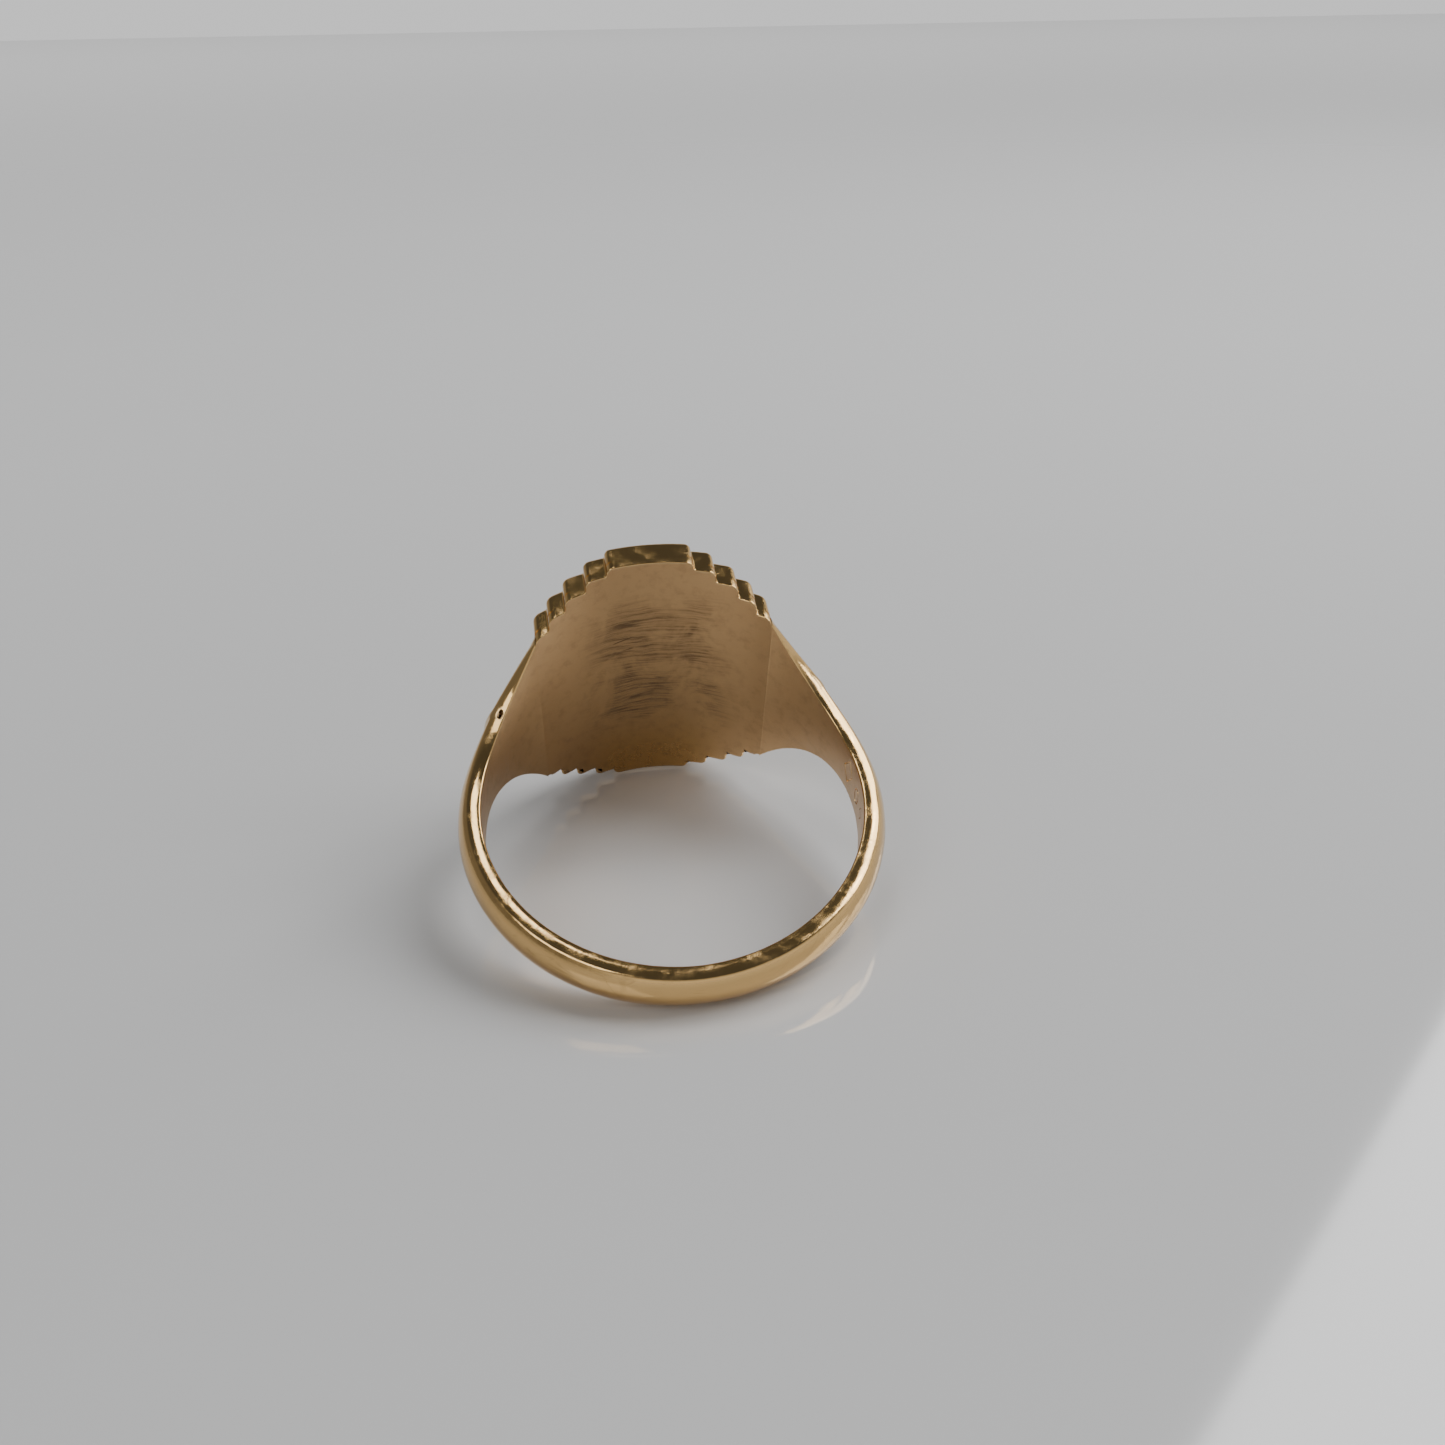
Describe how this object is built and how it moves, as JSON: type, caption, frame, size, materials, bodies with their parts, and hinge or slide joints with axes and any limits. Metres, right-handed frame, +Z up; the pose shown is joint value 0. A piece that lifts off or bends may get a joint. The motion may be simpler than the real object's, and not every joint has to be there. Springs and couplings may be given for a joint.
{
  "type": "signet ring",
  "caption": "Gold signet ring lying on its side: a finger-curved head with a stepped outline and a plain table, flared shoulders and a tapering half-round band.",
  "frame": {"origin": "centre of the ring's box, on the surface that the ring lies on", "axes": "+Z up off that surface, +Y towards the signet head, +X to the right shoulder seen from the back of the band; the finger axis leans back by the resting tilt of 19.9 degrees"},
  "size_m": [0.0202, 0.0222, 0.0153],
  "materials": {
    "polished_gold": "polished, fine wear scratches",
    "solder_gold": "polished, slightly pitted",
    "satin_gold": "satin, dark patina in the scratches",
    "table_gold": "polished"
  },
  "bodies": {
    "root": {"shank": "polished_gold", "left_solder_bead": "solder_gold", "right_solder_bead": "solder_gold", "left_shoulder": "polished_gold", "right_shoulder": "polished_gold", "head_plate": "satin_gold", "stepped_border": "polished_gold", "signet_table": "table_gold"}
  },
  "joints": []
}
